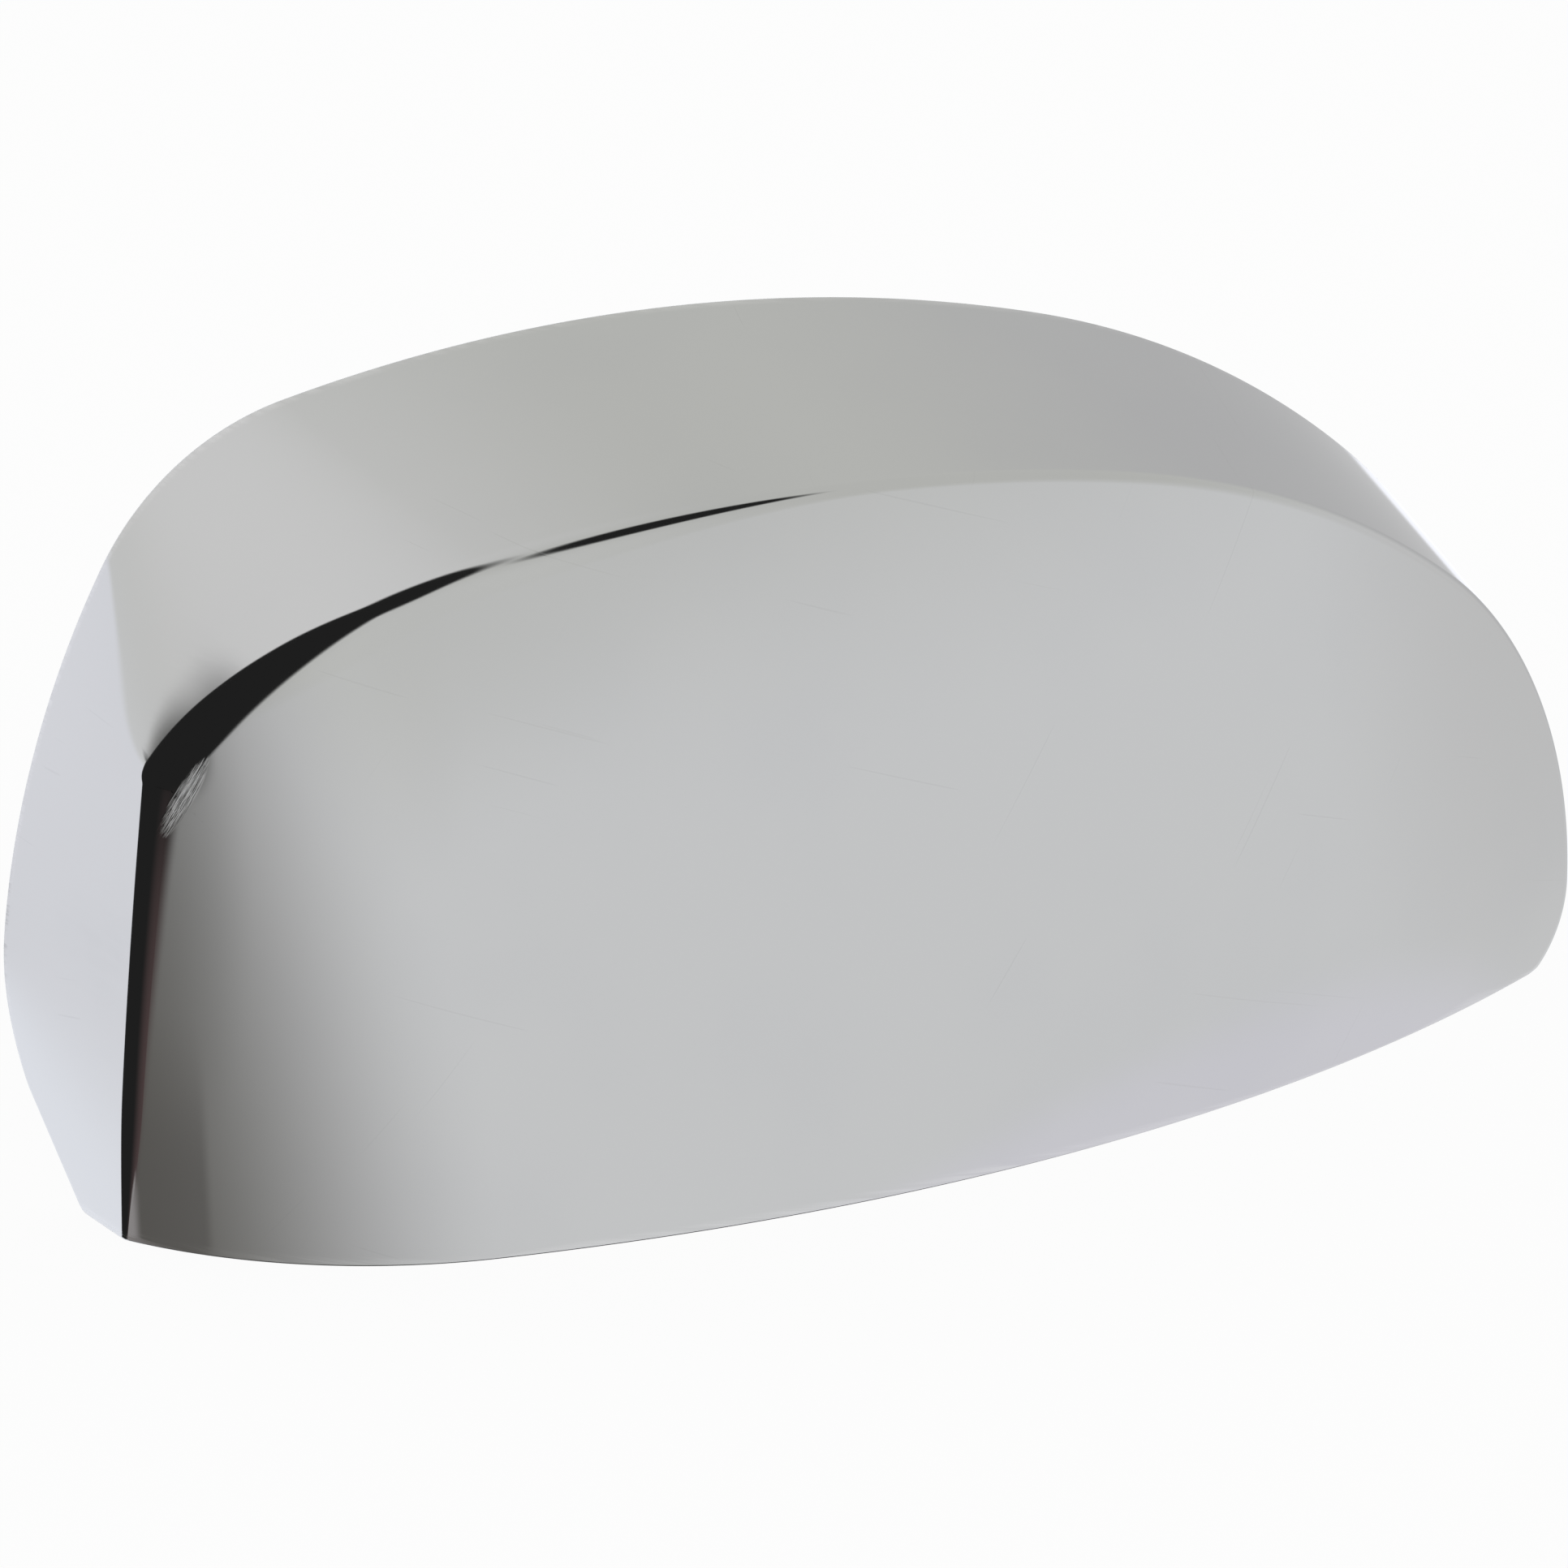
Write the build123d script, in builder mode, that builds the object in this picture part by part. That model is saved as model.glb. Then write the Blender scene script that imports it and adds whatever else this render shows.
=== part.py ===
from build123d import *
import os

# Wing mirror cover, in millimetres, drawn in one piece from polished stainless sheet.
# Its front faces -Y, its rim faces +Y and it stands on the trimmed bottom edge, with Z up.

# The sheet, the depth of the drawing and the rounding of the crease on its outside.
sheet_thickness = 0.8
rim_depth = 58.0
crease_radius = 5.0

# The crown of the front face: two radii in plan, and one radius up and down.
crown_radius = 242.0
nose_radius = 58.5
nose_angle = 10.0
lean_radius = 220.0
belly_height = 8.0

# How far each plan radius is drawn, in degrees, so that the crown is wider than the wall.
crown_span = 40.0
nose_span = 75.0

# Directions of the outline where one radius hands over to the next, in degrees from level.
side_angle = 86.0
corner_angle = 61.0
top_angle = 12.0
shoulder_angle = -16.0
end_angle = -42.0
tuck_angle = -105.0

# The wall's outline at the neck, which lies this far in front of the crown at the middle of the left side.
neck_lead = 2.9
neck_height = 89.8
neck_top_x = 1.4
neck_corner_radius = 8.0
neck_brow_radius = 56.5
neck_top_radius = 187.5
neck_shoulder_radius = 128.5
neck_end_radius = 57.0

# The same outline at the rim, whose height is the height of the cover.
rim_height = 98.4
rim_top_x = -1.2
rim_corner_radius = 117.5
rim_brow_radius = 35.5
rim_top_radius = 213.0
rim_shoulder_radius = 114.5
rim_end_radius = 74.5

# The cut low on the left wall, where the rim sweeps forward to the bottom edge.
sweep_height = 28.5
sweep_radius = 25.0
sweep_angle = 29.0

# Stock that stays below the bottom edge until the cover is trimmed.
skirt = 30.0


def draw_side(top, heading, bends):
    """One side of an outline: arcs that run on from the highest point, then straight down through the skirt."""
    for radius, turn in bends:
        arc = JernArc(top, heading, radius, turn)
        top, heading = arc @ 1, arc % 1
    return Line(top, top + heading * ((top.Y + skirt) / -heading.Y))


def draw_outline(top_x, height, radii, inset):
    """Closed outline of one face of the sheet, from its highest point down both sides."""
    corner, brow, top, shoulder, end = [radius - inset for radius in radii]
    peak = Vector(top_x, height - inset)
    left_bends = [(top, top_angle), (brow, corner_angle - top_angle), (corner, side_angle - corner_angle)]
    right_bends = [(top, shoulder_angle), (shoulder, end_angle - shoulder_angle), (end, tuck_angle - end_angle)]
    left_side = draw_side(peak, Vector(-1, 0), left_bends)
    right_side = draw_side(peak, Vector(1, 0), right_bends)
    Line(left_side @ 1, right_side @ 1)
    return left_side


def carried_forward(at_neck, at_rim):
    """Value at the foremost plane that keeps the wall's straight lines running on from the rim past the neck."""
    return at_neck + (at_neck - at_rim) * neck_depth / (rim_depth - neck_depth)


neck_radii = [neck_corner_radius, neck_brow_radius, neck_top_radius, neck_shoulder_radius, neck_end_radius]
rim_radii = [rim_corner_radius, rim_brow_radius, rim_top_radius, rim_shoulder_radius, rim_end_radius]

# The depth of the neck: the crown's depth in plan at the middle of the left side, less the lead.
left_middle = draw_outline(neck_top_x, neck_height, neck_radii, 0) @ 0.5
nose_centre = Vector(0, crown_radius) + Vector(0, nose_radius - crown_radius).rotate(Axis.Z, -nose_angle)
neck_depth = nose_centre.Y - (nose_radius**2 - (left_middle.X - nose_centre.X) ** 2) ** 0.5 - neck_lead

# The outline at the foremost plane.
front_radii = [carried_forward(at_neck, at_rim) for at_neck, at_rim in zip(neck_radii, rim_radii)]
front_radii[0] = neck_corner_radius  # the crown leaves none of this corner in front of the neck
front_height = carried_forward(neck_height, rim_height)
front_top_x = carried_forward(neck_top_x, rim_top_x)


def drawn_form(inset):
    """Solid behind one face of the sheet: inset 0 for the polished outside, the thickness for the inside."""
    with BuildPart() as form:
        # The wall, which widens towards the rim.
        with BuildSketch(Plane.XZ):
            with BuildLine():
                draw_outline(front_top_x, front_height, front_radii, inset)
            make_face()
        with BuildSketch(Plane.XZ.offset(-neck_depth)):
            with BuildLine():
                draw_outline(neck_top_x, neck_height, neck_radii, inset)
            make_face()
        with BuildSketch(Plane.XZ.offset(-rim_depth)):
            with BuildLine():
                draw_outline(rim_top_x, rim_height, rim_radii, inset)
            make_face()
        loft(ruled=True)

        # The crowned face, turned about a level axis far behind the cover.
        with BuildSketch(Plane.XY.offset(belly_height)):
            with BuildLine():
                right = JernArc((0, inset), (1, 0), crown_radius - inset, crown_span)
                near = JernArc((0, inset), (-1, 0), crown_radius - inset, -nose_angle)
                nose = JernArc(near @ 1, near % 1, nose_radius - inset, -nose_span)
                Polyline(right @ 1, ((right @ 1).X, lean_radius), ((nose @ 1).X, lean_radius), nose @ 1)
            make_face()
        revolve(axis=Axis((0, lean_radius, belly_height), (1, 0, 0)), mode=Mode.INTERSECT)

        # The rounded crease between the face and the wall.
        crown_faces = form.faces().filter_by(lambda face: face.geom_type in (GeomType.TORUS, GeomType.REVOLUTION))
        around = ShapeList(edge for face in crown_faces for edge in face.edges())
        crease = around.filter_by(lambda edge: sum(edge.is_same(other) for other in around) == 1)
        crease = crease.filter_by(lambda edge: edge.bounding_box().max.Z > 0)
        fillet(crease, crease_radius - inset)
    return form.part


with BuildPart() as mirror_cover:
    # The outside, with its skirt trimmed off level, and the hollow of the inside.
    add(drawn_form(0))
    split(bisect_by=Plane.XY)
    add(drawn_form(sheet_thickness), mode=Mode.SUBTRACT)

    # The sweep of the rim low on the left wall: a slope up from the bottom edge, then an arc into the rim.
    with BuildSketch(Plane.YZ):
        with BuildLine():
            bend = JernArc((rim_depth, sweep_height), (0, -1), sweep_radius, sweep_angle - 90)
            slope = Line(bend @ 1, bend @ 1 + (bend % 1) * ((bend @ 1).Y + skirt) / -(bend % 1).Y)
            Polyline(slope @ 1, (rim_depth + skirt, -skirt), (rim_depth + skirt, sweep_height), bend @ 0)
        make_face()
    extrude(amount=mirror_cover.part.bounding_box().min.X - skirt, mode=Mode.SUBTRACT)

# The cover is placed with the middle of its footprint at the origin.
reach = mirror_cover.part.bounding_box()
mirror_cover.part.position = (-reach.center().X, -reach.center().Y, -reach.min.Z)

os.makedirs("parts", exist_ok=True)
mirror_cover.part.label = "mirror_cover"
export_step(mirror_cover.part, "parts/mirror_cover.step")
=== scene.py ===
import bpy
import numpy as np
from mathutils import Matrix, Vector


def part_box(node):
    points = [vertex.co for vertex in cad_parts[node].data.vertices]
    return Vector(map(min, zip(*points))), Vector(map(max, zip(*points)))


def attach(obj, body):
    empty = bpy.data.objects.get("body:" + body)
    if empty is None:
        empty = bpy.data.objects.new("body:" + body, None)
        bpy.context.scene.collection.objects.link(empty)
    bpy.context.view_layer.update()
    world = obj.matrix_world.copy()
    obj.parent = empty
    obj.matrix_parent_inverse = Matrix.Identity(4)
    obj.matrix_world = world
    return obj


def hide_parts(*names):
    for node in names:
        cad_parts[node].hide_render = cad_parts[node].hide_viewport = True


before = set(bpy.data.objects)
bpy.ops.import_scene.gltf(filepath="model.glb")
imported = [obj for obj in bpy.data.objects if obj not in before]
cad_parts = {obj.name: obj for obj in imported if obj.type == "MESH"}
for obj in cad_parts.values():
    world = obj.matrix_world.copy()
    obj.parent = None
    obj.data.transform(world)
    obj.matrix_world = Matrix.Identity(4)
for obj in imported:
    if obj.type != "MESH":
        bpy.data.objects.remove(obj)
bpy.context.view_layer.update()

# The cover: a blank of stainless sheet, drawn into a crowned face and a wrapped wall that widens to the rim.
# A rolled crease joins wall and face. The bottom and the swept left rim are trimmed, the outside is polished,
# and the cover is bonded over the mirror housing.
sheet_thickness = 0.8  # in millimetres, as are all sizes of the shape
rim_depth = 57.98  # just inside the facets of the CAD's rim
neck_depth = 24.0

# The wall's outlines at neck and rim: the headings in degrees where arcs meet, from the left foot over the
# top to the right foot, and the radius of each arc between them.
bend_angles = np.radians([91.0, 80.5, 61.5, 12.0, -16.0, -42.0, -91.0, -178.0])
top_arc = 3
neck_peak = (1.4, 89.8)
neck_radii = np.array([425.0, -20.8, 57.6, 187.5, 128.5, 57.0, 13.7])
rim_peak = (-1.2, 98.4)
rim_radii = np.array([110.0, 120.0, 36.1, 213.0, 114.5, 74.5, 13.7])


def wall_outline(u, peak, radii):
    """Outline of the wall at one depth, as x, z and heading, with one unit of u for each arc from the left.
    A point of an arc is its start plus the radius times the change of (-sine, cosine) of the heading. The
    whole is set so that its highest point lies at peak. A radius below zero is for lines of the wall that
    meet behind that depth."""
    sine, cosine = np.sin(bend_angles), np.cos(bend_angles)
    steps = radii[:, None] * np.stack([sine[:-1] - sine[1:], cosine[1:] - cosine[:-1]], -1)
    to_peak = steps[:top_arc].sum(0) + radii[top_arc] * np.array([sine[top_arc], 1 - cosine[top_arc]])
    starts = np.array(peak) - to_peak + np.vstack([np.zeros(2), np.cumsum(steps, 0)])
    k = np.clip(np.floor(u).astype(int), 0, len(radii) - 1)
    heading = bend_angles[k] + (bend_angles[k + 1] - bend_angles[k]) * (u - k)
    x = starts[k, 0] + radii[k] * (sine[k] - np.sin(heading))
    z = starts[k, 1] + radii[k] * (np.cos(heading) - cosine[k])
    return x, z, heading


crown_radius = 242.0
nose_radius = 58.5
nose_angle = np.radians(10.0)
lean_radius = 220.0
belly_height = 8.0
steepest_sine = 0.999


def crowned_face(x, z, inset):
    """Depth y and outward normal of the front face: a wide arc in plan that hands over to a tighter nose arc
    on the left, turned about a level axis behind the cover, so y = lean radius - reach * cosine of lean."""
    nose_x = (nose_radius - crown_radius) * np.sin(nose_angle)
    nose_y = crown_radius + (nose_radius - crown_radius) * np.cos(nose_angle)
    on_crown = x > -(crown_radius - inset) * np.sin(nose_angle)
    radius = np.where(on_crown, crown_radius, nose_radius) - inset
    sine = np.clip((x - np.where(on_crown, 0, nose_x)) / radius, -steepest_sine, steepest_sine)
    cosine = np.sqrt(1 - sine**2)
    reach = lean_radius - (np.where(on_crown, crown_radius, nose_y) - radius * cosine)
    sine_lean = np.clip((z - belly_height) / reach, -steepest_sine, steepest_sine)
    cosine_lean = np.sqrt(1 - sine_lean**2)
    normal = np.stack([sine, -cosine * cosine_lean, cosine * sine_lean], -1)
    return lean_radius - reach * cosine_lean, normal


sweep_height = 30.0
sweep_radius = 29.9
sweep_angle = np.radians(29.1)


def rim_line(z, trim):
    """Depth of the rim at height z, cut back by trim: the rim plane, an arc, then a slope to the bottom."""
    radius = sweep_radius - trim
    drop = np.clip(sweep_height - z, 0, None)
    arc_end = radius * np.cos(sweep_angle)
    arc = np.sqrt(np.maximum(radius**2 - np.minimum(drop, arc_end) ** 2, 0))
    slope = radius * np.sin(sweep_angle) - (drop - arc_end) / np.tan(sweep_angle)
    return rim_depth - sweep_radius + np.where(drop < arc_end, arc, slope)


# The crease's radius, and the slope at which the wall bows out, at places round the outline.
crease_places = np.array([0.0, 0.4, 0.9, 1.5, 2.0, 2.5, 3.0, 3.6])
crease_radii = np.array([1.2, 7.6, 7.7, 9.8, 9.7, 9.4, 6.0, 2.2])
bow_places = np.array([1.0, 1.5, 1.9, 2.25, 2.7, 3.2])
bow_slopes = np.array([0.0, 0.07, 0.09, 0.026, 0.02, 0.0])
swept_end = 1.5  # the rim sweeps forward only before this place
settling_rounds = 60
settling_share = 0.6


def eased(u, places, values):
    """Value at u, which eases from the value of one place round the outline to that of the next."""
    k = np.clip(np.searchsorted(places, u) - 1, 0, len(places) - 2)
    ease = np.clip((u - places[k]) / (places[k + 1] - places[k]), 0, 1)
    return values[k] + (values[k + 1] - values[k]) * ease**2 * (3 - 2 * ease)


def wall_and_crease(u, v, inset, trim):
    """Point and normal of the wall for v from 0 at the rim to 1 at the crease, and of the crease from 1 to 2.
    The wall is straight lines from the neck outline to the rim outline at equal u, and round the corner they
    bow out by slope * length * v * (1 - v). The crease is the arc of a ball that touches wall and face. Where
    it touches, and where a line ends at the rim, settles in rounds that each take up a share of the rest."""
    neck_x, neck_z, heading = wall_outline(u, neck_peak, neck_radii)
    rim_x, rim_z, _ = wall_outline(u, rim_peak, rim_radii)
    ball, slope = eased(u, crease_places, crease_radii), eased(u, bow_places, bow_slopes)
    inward = np.stack([np.sin(heading), np.zeros_like(heading), -np.cos(heading)], -1)
    start = np.stack([neck_x, np.full_like(neck_x, neck_depth), neck_z], -1) + inset * inward
    rule = np.stack([rim_x - neck_x, np.full_like(neck_x, rim_depth - neck_depth), rim_z - neck_z], -1)
    along = np.stack([np.cos(heading), np.zeros_like(heading), np.sin(heading)], -1)
    wall_normal = np.cross(along, rule)
    wall_normal /= np.linalg.norm(wall_normal, axis=-1)[..., None]
    length = np.linalg.norm(rule, axis=-1)
    lean = slope[..., None] * rule / length[..., None]
    touch_normal = (wall_normal - lean) / np.sqrt(1 + slope**2)[..., None]

    at_crease = np.zeros_like(u)
    for _ in range(settling_rounds):
        centre = start + rule * at_crease[..., None] - (ball - inset)[..., None] * touch_normal
        depth, face_normal = crowned_face(centre[..., 0], centre[..., 2], ball)
        at_crease = at_crease + settling_share * (depth - centre[..., 1]) / rim_depth

    at_rim = np.ones_like(u)
    for _ in range(settling_rounds):
        swept = rim_line(start[..., 2] + rule[..., 2] * at_rim, trim)
        limit = np.where(u < swept_end, swept, rim_depth - trim)
        at_rim = at_rim + settling_share * ((limit - neck_depth) / (rim_depth - neck_depth) - at_rim)

    way = np.clip(v, 0, 1)
    share = at_rim + (at_crease - at_rim) * way
    bow = slope * length * (at_rim - at_crease) * way * (1 - way)
    wall = start + rule * share[..., None] + bow[..., None] * wall_normal
    bowed_normal = wall_normal + (1 - 2 * way)[..., None] * lean
    bowed_normal /= np.linalg.norm(bowed_normal, axis=-1)[..., None]
    turn = np.arccos(np.clip((touch_normal * face_normal).sum(-1), -1, 1))
    part = np.clip(v - 1, 0, 1)
    from_wall = np.sin((1 - part) * turn)[..., None] * touch_normal
    normal = from_wall + np.sin(part * turn)[..., None] * face_normal
    normal /= np.sin(turn)[..., None]
    crease = centre + (ball - inset)[..., None] * normal
    on_wall = (v <= 1)[..., None]
    return np.where(on_wall, wall, crease), np.where(on_wall, bowed_normal, normal)


steps_around = 340
steps_down_wall = 24
steps_over_crease = 20
steps_down_face = 72
fine_steps = 2000
halvings = 40
spacing_line = 0.7  # the v of the line that sets the spacing of points
turn_spacing = 40.0  # millimetres added for each radian of turn
bottom_line = (-42.0, 88.0)  # from the left to the right end of the face's bottom edge
left_ends = (0.0, 0.8)  # the places between which the lines end on the left
right_ends = (6.0, 7.0)


def sheet_skin(inset, trim):
    """One face of the sheet as a grid of points and normals: round the outline one way, and the other way
    from the rim over the crease to the bottom edge. Each line round the wall and crease starts and ends at
    height trim, found by halving. Its points are spaced by the arc length of one such line plus the turn of
    the heading. The face runs on, in lines that are straight from the front, to even places on the bottom."""
    v_wall = np.linspace(0, 1, steps_down_wall + 1)
    v = np.r_[v_wall, np.linspace(1, 2, steps_over_crease + 1)[1:]]
    first = [np.full_like(v, end) for end in left_ends]
    last = [np.full_like(v, end) for end in right_ends]
    for _ in range(halvings):
        middle = sum(first) / 2
        below = wall_and_crease(middle, v, inset, trim)[0][:, 2] < trim
        first = [np.where(below, middle, first[0]), np.where(below, first[1], middle)]
        middle = sum(last) / 2
        above = wall_and_crease(middle, v, inset, trim)[0][:, 2] > trim
        last = [np.where(above, middle, last[0]), np.where(above, last[1], middle)]
    u_fine = np.linspace(left_ends[0], right_ends[1], fine_steps)
    line = wall_and_crease(u_fine, np.full_like(u_fine, spacing_line), 0.0, 0.0)[0]
    turned = np.abs(np.diff(wall_outline(u_fine, neck_peak, neck_radii)[2]))
    spacing = np.linalg.norm(np.diff(line, axis=0), axis=1) + turn_spacing * turned
    length = np.r_[0, np.cumsum(spacing)]
    start, end = np.interp(sum(first) / 2, u_fine, length), np.interp(sum(last) / 2, u_fine, length)
    t = np.linspace(0, 1, steps_around + 1)[:, None]
    u = np.interp(start + (end - start) * t, length, u_fine)
    points, normals = wall_and_crease(u, np.broadcast_to(v, u.shape), inset, trim)
    s = np.arange(1, steps_down_face + 1) / steps_down_face
    foot = points[:, -1:]
    bottom_x = bottom_line[0] + (bottom_line[1] - bottom_line[0]) * t
    x = foot[..., 0] + (bottom_x - foot[..., 0]) * s
    z = foot[..., 2] + (trim - foot[..., 2]) * s
    y, face_normals = crowned_face(x, z, inset)
    points = np.concatenate([points, np.stack([x, y, z], -1)], 1)
    return points, np.concatenate([normals, face_normals], 1)


edge_round = 0.3


def around_the_edge(grid):
    """The border of a grid as one closed line: along the rim, then right, bottom and left to its start."""
    return np.concatenate([grid[:, 0], grid[-1, 1:], grid[-2::-1, -1], grid[0, -2:0:-1]])


# The edge is rounded a little on both sides by deburring. Each line round it is the border of a skin, given
# by how far that lies in from the outside and how far it is cut back from the trim line.
middle_of_round = (1 - np.sqrt(0.5)) * edge_round
edge_lines = [(middle_of_round, middle_of_round), (edge_round, 0.0)]
edge_lines += [(sheet_thickness - inset, trim) for inset, trim in reversed(edge_lines)]
outside, outside_normals = sheet_skin(0.0, edge_round)
inside, inside_normals = sheet_skin(sheet_thickness, edge_round)
edge_rings = [around_the_edge(sheet_skin(inset, trim)[0]) for inset, trim in edge_lines]

# The faces: a grid outside, the same grid turned over inside, and strips from ring to ring round the edge.
count = outside.shape[0] * outside.shape[1]
numbers = np.arange(count).reshape(outside.shape[:2])
corners = [numbers[:-1, :-1], numbers[:-1, 1:], numbers[1:, 1:], numbers[1:, :-1]]
outside_faces = np.stack(corners, -1).reshape(-1, 4)
inside_faces = count + outside_faces[:, ::-1]
border = around_the_edge(numbers[..., None])[:, 0]
ring_size = len(border)
ring_numbers = [border]
ring_numbers += [2 * count + ring_size * k + np.arange(ring_size) for k in range(len(edge_rings))]
ring_numbers += [count + border]
edge_faces = np.concatenate([
    np.stack([near, np.roll(near, -1), np.roll(far, -1), far], -1)
    for near, far in zip(ring_numbers[:-1], ring_numbers[1:])
])

# The normals: those of the two skins, and across the cut edge one that turns from the outside to the inside.
along_edge = np.roll(edge_rings[1], -1, 0) - np.roll(edge_rings[1], 1, 0)
edge_normals = np.cross(along_edge, edge_rings[2] - edge_rings[1])
edge_normals /= np.linalg.norm(edge_normals, axis=1)[:, None]
outer_turn = edge_normals + around_the_edge(outside_normals)
inner_turn = edge_normals - around_the_edge(inside_normals)
cover_normals = np.concatenate([
    outside_normals.reshape(-1, 3), -inside_normals.reshape(-1, 3),
    outer_turn, edge_normals, edge_normals, inner_turn,
])
cover_normals /= np.linalg.norm(cover_normals, axis=1)[:, None]

# The points, in metres, set where the CAD node stands: by its right end, its rim and its bottom edge.
metres = 0.001
cover_points = np.concatenate([outside.reshape(-1, 3), inside.reshape(-1, 3), *edge_rings]) * metres
node_low, node_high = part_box("mirror_cover")
own_low, own_high = cover_points.min(0), cover_points.max(0)
cover_points += np.array([node_high[0] - own_high[0], node_high[1] - own_high[1], node_low[2] - own_low[2]])


def way_to_edge(grid):
    """Distance of each point of a grid from its border in millimetres, along the grid's own lines."""
    ways = []
    for axis in (0, 1):
        steps = np.linalg.norm(np.diff(grid, axis=axis), axis=2)
        way = np.concatenate([np.zeros_like(np.take(steps, [0], axis)), np.cumsum(steps, axis)], axis)
        ways += [way, np.take(way, [-1], axis) - way]
    return np.minimum.reduce(ways)


cover_mesh = bpy.data.meshes.new("polished_cover")
cover_faces = np.concatenate([outside_faces, inside_faces, edge_faces])
cover_mesh.from_pydata(cover_points.tolist(), [], cover_faces.tolist())
finish_of_face = np.repeat([0, 1, 2], [len(outside_faces), len(inside_faces), len(edge_faces)])
cover_mesh.polygons.foreach_set("material_index", finish_of_face.astype(np.int32))
ways_in = [way_to_edge(outside).ravel(), way_to_edge(inside).ravel(), np.zeros(len(edge_lines) * ring_size)]
ring_shares = [inset / sheet_thickness for inset, _ in edge_lines]
shares_through = [np.repeat([0.0, 1.0], count), np.repeat(ring_shares, ring_size)]
for name, values in (("from_edge", ways_in), ("through_sheet", shares_through)):
    attribute = cover_mesh.attributes.new(name, "FLOAT", "POINT")
    attribute.data.foreach_set("value", np.concatenate(values).astype(np.float32))
cover_mesh.shade_smooth()
cover_mesh.normals_split_custom_set_from_vertices(cover_normals.tolist())
cover = bpy.data.objects.new("polished_cover", cover_mesh)
bpy.context.scene.collection.objects.link(cover)


def put(tree, kind, inputs, **settings):
    """Adds one shader node. An input given as a socket is linked, and any other value is set on the node."""
    node = tree.nodes.new(kind)
    for name, value in settings.items():
        setattr(node, name, value)
    for name, value in inputs.items():
        if isinstance(value, bpy.types.NodeSocket):
            tree.links.new(value, node.inputs[name])
        else:
            node.inputs[name].default_value = value
    return node


def step(tree, value, low, high):
    """Mask that rises smoothly from 0 at low to 1 at high, or falls where low is the larger."""
    limits = {"Value": value, "From Min": low, "From Max": high}
    return put(tree, "ShaderNodeMapRange", limits, interpolation_type="SMOOTHSTEP").outputs["Result"]


def worked_out(tree, operation, *values):
    """The result of a Math node for these values or masks."""
    return put(tree, "ShaderNodeMath", dict(enumerate(values)), operation=operation).outputs["Value"]


def add_scaled(tree, base, mask, amount):
    """The base plus the mask times the amount."""
    return worked_out(tree, "MULTIPLY_ADD", mask, amount, base)


def times(tree, first, second):
    """The product of two masks."""
    return worked_out(tree, "MULTIPLY", first, second)


def blend(tree, mask, low, high):
    """The colour low where the mask is 0 and the colour high where it is 1."""
    return put(tree, "ShaderNodeMix", {0: mask, 6: low, 7: high}, data_type="RGBA").outputs[2]


def grey(value):
    """The grey of this brightness, as a colour."""
    return (value, value, value, 1.0)


def noise(tree, place, scale, detail):
    """A cloud of values about one half, with so many features to the metre."""
    inputs = {"Vector": place, "Scale": scale, "Detail": detail}
    return put(tree, "ShaderNodeTexNoise", inputs).outputs["Fac"]


def stretched(tree, place, turn, size, middle=(0.0, 0.0, 0.0)):
    """Places counted from the middle, turned about the front axis, in features of this size in metres."""
    inputs = {"Vector": place, "Location": middle, "Rotation": (0.0, turn, 0.0), "Scale": size}
    return put(tree, "ShaderNodeMapping", inputs, vector_type="TEXTURE").outputs["Vector"]


def new_effect(name, masks):
    """An empty shader group that takes a place and gives out masks, with its place socket and output node."""
    group = bpy.data.node_groups.new(name, "ShaderNodeTree")
    group.interface.new_socket("Place", in_out="INPUT", socket_type="NodeSocketVector")
    for mask in masks:
        group.interface.new_socket(mask, in_out="OUTPUT", socket_type="NodeSocketFloat")
    place = group.nodes.new("NodeGroupInput").outputs["Place"]
    return group, place, group.nodes.new("NodeGroupOutput")


# Fine parallel lines in the steel, from rolling, polishing or shearing, for a place stretched along them.
fine_lines, place, given = new_effect("fine_lines", ["Lines"])
broad, narrow = noise(fine_lines, place, 1.0, 2.0), noise(fine_lines, place, 3.7, 2.0)
both_lines = add_scaled(fine_lines, times(fine_lines, broad, 0.5), narrow, 0.5)
fine_lines.links.new(step(fine_lines, both_lines, 0.36, 0.64), given.inputs["Lines"])

# Traces of handling: soft smudges a few centimetres wide, and sparse hairlines that run two ways.
handling, place, given = new_effect("handling", ["Smudge", "Hairlines"])
smudge = step(handling, noise(handling, place, 32.0, 4.0), 0.42, 0.72)
handling.links.new(smudge, given.inputs["Smudge"])
hairlines = []
for turn, size in ((0.35, (0.05, 0.03, 0.0006)), (-0.9, (0.04, 0.03, 0.0005))):
    turned = stretched(handling, place, turn, size)
    hairlines.append(step(handling, noise(handling, turned, 1.0, 1.0), 0.765, 0.79))
handling.links.new(worked_out(handling, "MAXIMUM", *hairlines), given.inputs["Hairlines"])


def new_finish(name):
    """A metal material with its node tree, its Principled shader and its Object coordinates."""
    material = bpy.data.materials.new(name)
    material.use_nodes = True
    tree = material.node_tree
    shader = tree.nodes["Principled BSDF"]
    shader.inputs["Metallic"].default_value = 1.0
    return material, tree, shader, tree.nodes.new("ShaderNodeTexCoord").outputs["Object"]


def point_value(tree, name):
    """The value that the points of the mesh carry under this name."""
    return put(tree, "ShaderNodeAttribute", {}, attribute_name=name).outputs["Fac"]


def lines_along(tree, place, turn, size):
    """The fine lines, turned about the front axis, with features of this size in metres along each axis."""
    turned = stretched(tree, place, turn, size)
    return put(tree, "ShaderNodeGroup", {"Place": turned}, node_tree=fine_lines).outputs["Lines"]


def handling_traces(tree, place):
    """The smudges and the hairlines of handling, as two masks."""
    traces = put(tree, "ShaderNodeGroup", {"Place": place}, node_tree=handling)
    return traces.outputs["Smudge"], traces.outputs["Hairlines"]


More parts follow.
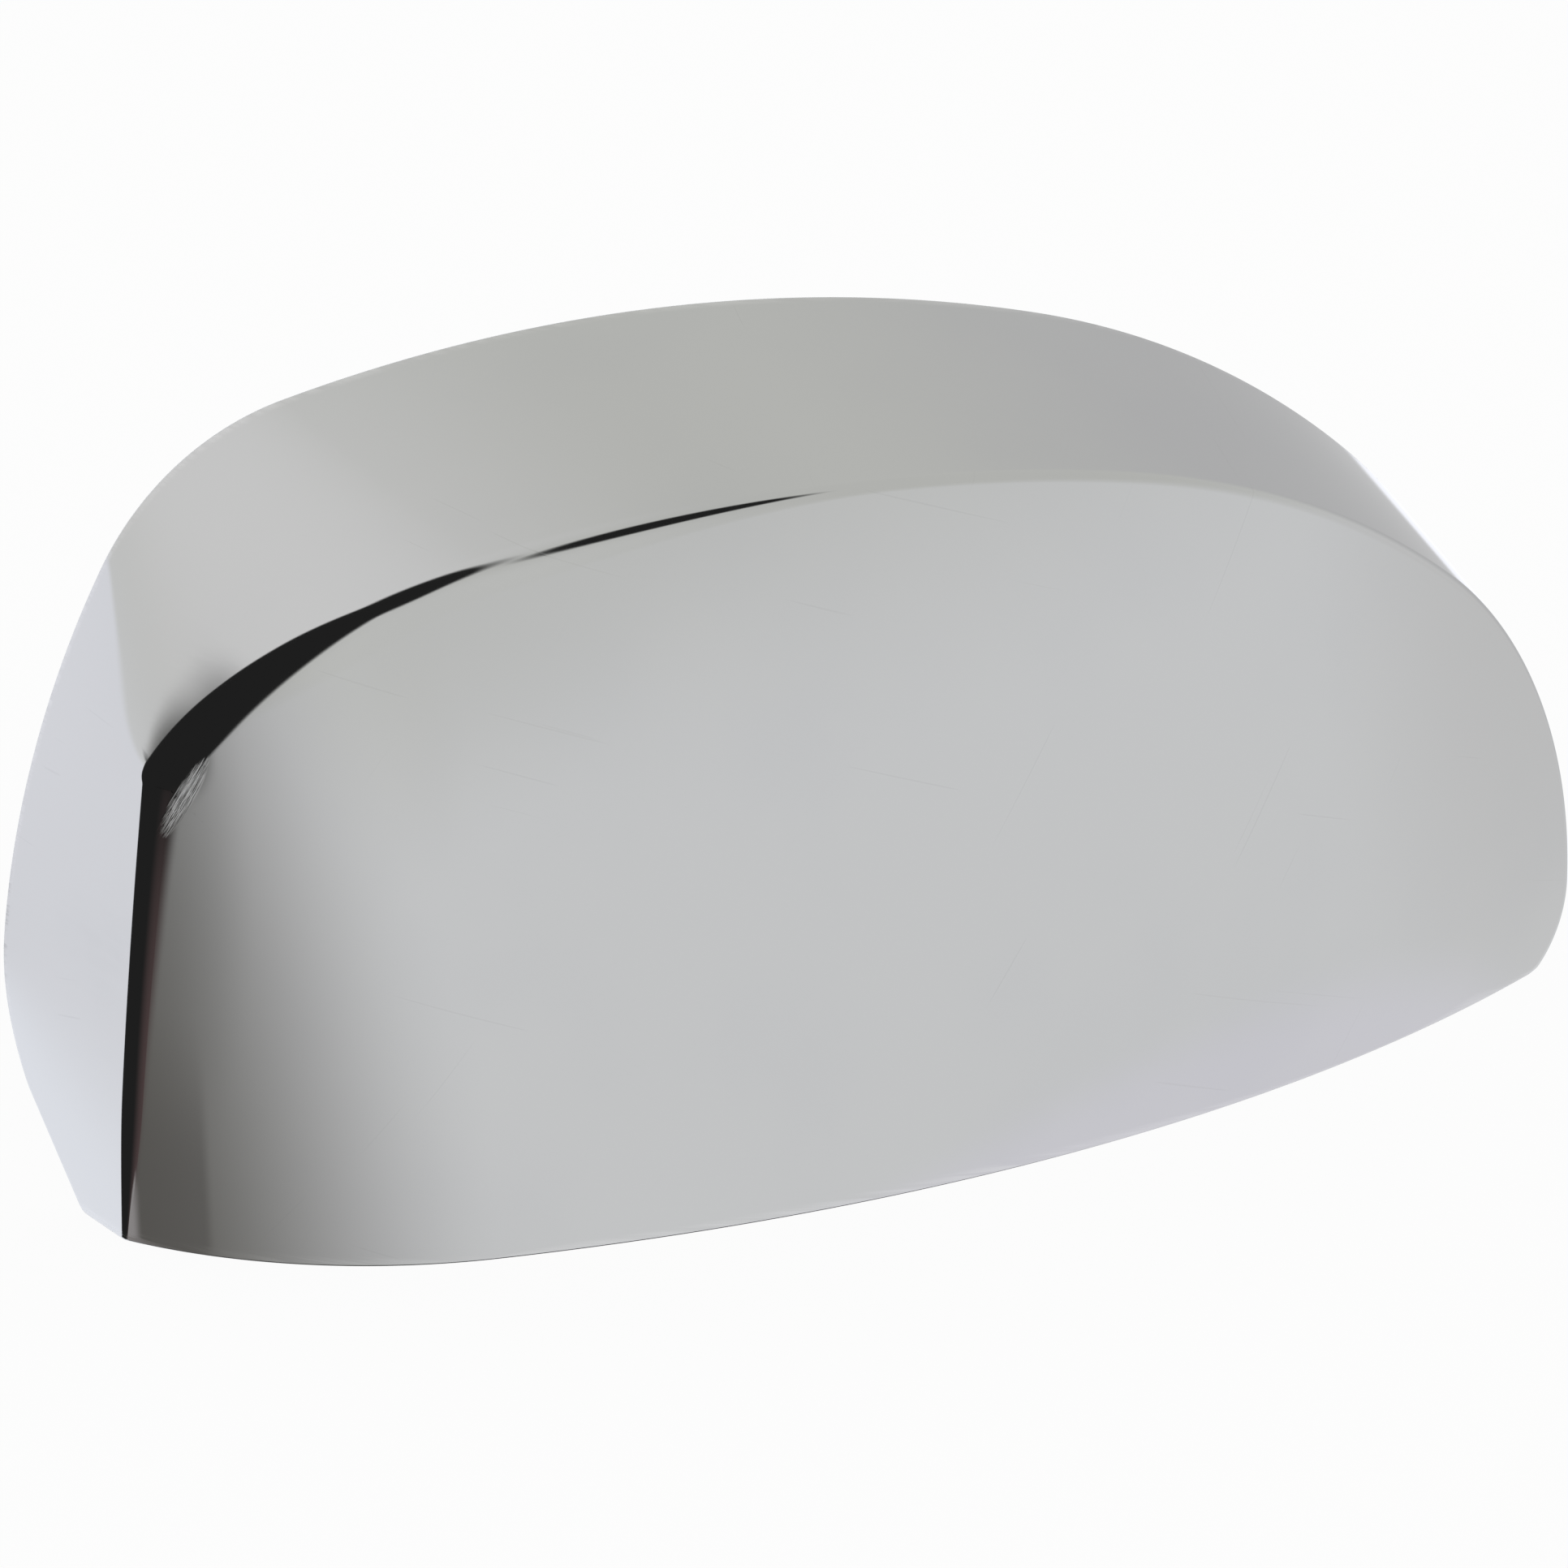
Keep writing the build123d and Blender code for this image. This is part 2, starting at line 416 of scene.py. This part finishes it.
def finish_with(tree, shader, roughness, colour, relief, strength, depth):
    """Links roughness and colour to the shader, and the relief as a bump of this depth in metres."""
    tree.links.new(roughness, shader.inputs["Roughness"])
    tree.links.new(colour, shader.inputs["Base Color"])
    bump = put(tree, "ShaderNodeBump", {"Height": relief, "Strength": strength, "Distance": depth})
    tree.links.new(bump.outputs["Normal"], shader.inputs["Normal"])


# The outside is buffed to a mirror: faint buffing lines, smudges, hairlines, and duller metal along the edge.
# The buffing wheel left a scratchy spot on the tight corner of the crease. The spot's steel is also painted
# near white, which is a painted highlight over its real scratches.
polished, tree, shader, place = new_finish("polished_outside")
polished_roughness = 0.035
smudge, hairlines = handling_traces(tree, place)
buffing = lines_along(tree, place, turn=0.15, size=(0.04, 0.016, 0.0007))
edge_wear = times(tree, step(tree, point_value(tree, "from_edge"), 1.4, 0.1), buffing)
spot_middle = (-0.0944, -0.0034, 0.0573)
spot_size = (0.006, 0.006, 0.0009)
spot_turn = -1.1
spot_place = stretched(tree, place, spot_turn, spot_size, spot_middle)
spot_way = put(tree, "ShaderNodeVectorMath", {0: spot_place}, operation="LENGTH").outputs["Value"]
scratches = lines_along(tree, place, spot_turn, size=(0.009, 0.006, 0.0003))
scratched_spot_and_highlight = times(tree, step(tree, spot_way, 1.1, 0.3), scratches)
roughness = add_scaled(tree, add_scaled(tree, polished_roughness, smudge, 0.03), hairlines, 0.03)
roughness = add_scaled(tree, add_scaled(tree, roughness, edge_wear, 0.16), scratched_spot_and_highlight, 0.4)
roughness = add_scaled(tree, roughness, buffing, 0.012)
steel = blend(tree, smudge, grey(0.562), (0.552, 0.553, 0.556, 1.0))
steel = blend(tree, hairlines, steel, grey(0.54))
steel = blend(tree, edge_wear, steel, grey(0.64))
# Painted highlight: the steel in the scratched spot is painted near white, on top of the rougher, bumped
# scratches.
steel = blend(tree, scratched_spot_and_highlight, steel, grey(0.92))
wave = noise(tree, place, scale=38.0, detail=1.0)
relief = add_scaled(tree, add_scaled(tree, wave, hairlines, -0.012), scratched_spot_and_highlight, 1.4)
finish_with(tree, shader, roughness, steel, relief, strength=1.0, depth=0.00004)
cover_mesh.materials.append(polished)

# The inside keeps the dull mill finish of the sheet, with rolling grain and the haze of the drawing oil.
mill, tree, shader, place = new_finish("mill_inside")
mill_roughness = 0.34
smudge, hairlines = handling_traces(tree, place)
grain = lines_along(tree, place, turn=0.0, size=(0.033, 0.011, 0.0006))
edge_wear = step(tree, point_value(tree, "from_edge"), 2.0, 0.1)
roughness = add_scaled(tree, add_scaled(tree, mill_roughness, smudge, 0.09), grain, 0.1)
roughness = add_scaled(tree, add_scaled(tree, roughness, edge_wear, -0.08), hairlines, -0.1)
steel = blend(tree, grain, (0.44, 0.44, 0.435, 1.0), (0.5, 0.5, 0.495, 1.0))
steel = blend(tree, smudge, steel, (0.42, 0.418, 0.41, 1.0))
steel = blend(tree, edge_wear, steel, grey(0.54))
wave = noise(tree, place, scale=30.0, detail=2.0)
relief = add_scaled(tree, times(tree, grain, 0.2), wave, 1.0)
finish_with(tree, shader, roughness, steel, relief, strength=0.6, depth=0.00006)
cover_mesh.materials.append(mill)

# The cut edge is sheared: a smooth bright band on the outer third of the thickness, then a dull torn band.
sheared, tree, shader, place = new_finish("sheared_edge")
sheared_roughness = 0.16
tear = lines_along(tree, place, turn=0.0, size=(0.0004, 0.0014, 0.0014))
ragged = noise(tree, place, scale=260.0, detail=2.0)
torn = step(tree, add_scaled(tree, point_value(tree, "through_sheet"), ragged, 0.24), 0.46, 0.58)
torn_lines = times(tree, torn, tear)
roughness = add_scaled(tree, add_scaled(tree, sheared_roughness, torn, 0.24), torn_lines, 0.12)
steel = blend(tree, torn, grey(0.6), (0.36, 0.355, 0.35, 1.0))
steel = blend(tree, torn_lines, steel, (0.45, 0.445, 0.44, 1.0))
finish_with(tree, shader, roughness, steel, torn_lines, strength=0.6, depth=0.00003)
cover_mesh.materials.append(sheared)

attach(cover, "root")
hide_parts("mirror_cover")

# The studio round the cover, which the mirror finish shows: a white room in front, a bright side on the left
# at the back, and between them a dark opening that reaches overhead. The camera sees plain white.
studio = bpy.data.worlds.new("studio")
bpy.context.scene.world = studio
studio.use_nodes = True
tree = studio.node_tree
outlook = tree.nodes.new("ShaderNodeTexCoord").outputs["Generated"]


def direction(azimuth, elevation):
    """Unit vector at an azimuth from the front, positive to the right, and an elevation, in degrees."""
    a, e = np.radians(azimuth), np.radians(elevation)
    return np.array([np.sin(a) * np.cos(e), -np.cos(a) * np.cos(e), np.sin(e)])


def patch(azimuth, elevation, edge, softness):
    """Mask that is 1 where the cosine of the angle from the axis is over edge, with a soft step."""
    inputs = {0: outlook, 1: direction(azimuth, elevation)}
    near = put(tree, "ShaderNodeVectorMath", inputs, operation="DOT_PRODUCT").outputs["Value"]
    return step(tree, near, edge - softness / 2, edge + softness / 2)


white_above = (0.775, 0.783, 0.753, 1)
white_below = (0.964, 0.975, 0.985, 1)
dark = grey(0.023)
ahead = patch(-44, -5, 0.0, 0.03)
doorway = times(tree, times(tree, patch(-157, 0, 0.0, 0.05), patch(0, -90, 0.31, 0.16)), ahead)
back_edge = blend(tree, patch(0, 90, 0.14, 0.12), ahead, patch(-42.5, -4, 0.0, 0.07))
opening = times(tree, back_edge, patch(-150, 3, 0.0, 0.1))
brown_dark = blend(tree, patch(-75, -27, 0.956, 0.15), dark, (0.15, 0.1, 0.1, 1))
low_light = times(tree, patch(-90, -34, 0.9806, 0.003), patch(-177, 0, 0.0, 0.045))

# Each patch with its colour lies over those before it.
patches = [
    (patch(-15, 38, 0.86, 0.22), (0.86, 0.868, 0.845, 1)),  # the wall ahead
    (patch(90, -4, 0.95, 0.14), grey(0.85)),  # the right side
    (patch(135, 0, 0.9, 0.32), (0.6, 0.6, 0.605, 1)),  # the corner behind on the right
    (patch(-130, 55, 0.83, 0.38), grey(0.99)),  # a lamp high at the back on the left
    (times(tree, patch(-104, -40, 0.59, 1.3), ahead), (0.03, 0.02, 0.0, 1)),  # the shade low on the left
    (times(tree, patch(-72, 0, 0.965, 0.08), 0.16), grey(0.0)),  # a faint upright in that shade
    (times(tree, doorway, 0.7), (0.156, 0.15, 0.142, 1)),
    (patch(-173, -20, 0.722, 0.04), (1.09, 1.105, 1.17, 1)),  # the bright side at the back
    (patch(-150, -40, 0.925, 0.05), (1.2, 1.235, 1.32, 1)),  # the foot of the bright side
    (patch(62, -60, 0.78, 0.05), (1.0, 0.995, 1.06, 1)),  # the floor on the right
    (patch(0, -90, 0.84, 0.06), grey(0.12)),  # the shade under the cover
    (times(tree, opening, patch(-163, 42, -0.096, 0.037)), brown_dark),
    (times(tree, opening, patch(-151, 70, 0.0, 0.04)), brown_dark),
    (low_light, (0.42, 0.4, 0.4, 1)),
    (patch(-75, 78, 0.9636, 0.025), dark),  # overhead on the left
    (patch(50, 69, 0.9816, 0.015), dark),  # overhead on the right
]
light = blend(tree, patch(0, -90, -0.31, 0.6), white_above, white_below)
for mask, colour in patches:
    light = blend(tree, mask, light, colour)
seen = tree.nodes.new("ShaderNodeLightPath").outputs["Is Camera Ray"]
backdrop = blend(tree, seen, light, grey(1.0))
tree.links.new(backdrop, tree.nodes["Background"].inputs["Color"])

# The floor: a wide sheet of white paper under the cover, lit by the studio, which keeps a faint shadow.
# The camera sees it as nearly plain white, and the polished steel shows the studio in its place.
floor_reach = 4.0
floor_glow = 0.95
floor_mesh = bpy.data.meshes.new("floor")
floor_corners = np.array([[-1, -1, 0], [1, -1, 0], [1, 1, 0], [-1, 1, 0]]) * floor_reach
floor_mesh.from_pydata(floor_corners.tolist(), [], [[0, 1, 2, 3]])
floor = bpy.data.objects.new("floor", floor_mesh)
bpy.context.scene.collection.objects.link(floor)
floor.visible_glossy = False
paper = bpy.data.materials.new("white_floor")
paper.use_nodes = True
tree = paper.node_tree
tree.nodes.remove(tree.nodes["Principled BSDF"])
matt = put(tree, "ShaderNodeBsdfDiffuse", {"Color": grey(0.95)})
glow = put(tree, "ShaderNodeEmission", {"Color": grey(1.0)})
seen = tree.nodes.new("ShaderNodeLightPath").outputs["Is Camera Ray"]
glow_share = times(tree, seen, floor_glow)
sheet = put(tree, "ShaderNodeMixShader", {0: glow_share, 1: matt.outputs[0], 2: glow.outputs[0]})
tree.links.new(sheet.outputs[0], tree.nodes["Material Output"].inputs["Surface"])
floor_mesh.materials.append(paper)

# The camera: a long lens to the left of the cover and a little above it, as the photograph was taken.
camera_data = bpy.data.cameras.new("camera")
camera_data.sensor_width = 36.0
camera_data.lens = 242.2
camera = bpy.data.objects.new("camera", camera_data)
bpy.context.scene.collection.objects.link(camera)
look_at = Vector((-0.01355, -0.0012, 0.045))
camera_distance = 1.3
camera_azimuth = -25.75
camera_elevation = 21.0
to_camera = Vector(direction(camera_azimuth, camera_elevation))
camera.location = look_at + to_camera * camera_distance
camera.rotation_euler = (-to_camera).to_track_quat("-Z", "Y").to_euler()
bpy.context.scene.camera = camera
bpy.context.scene.view_settings.view_transform = "Standard"
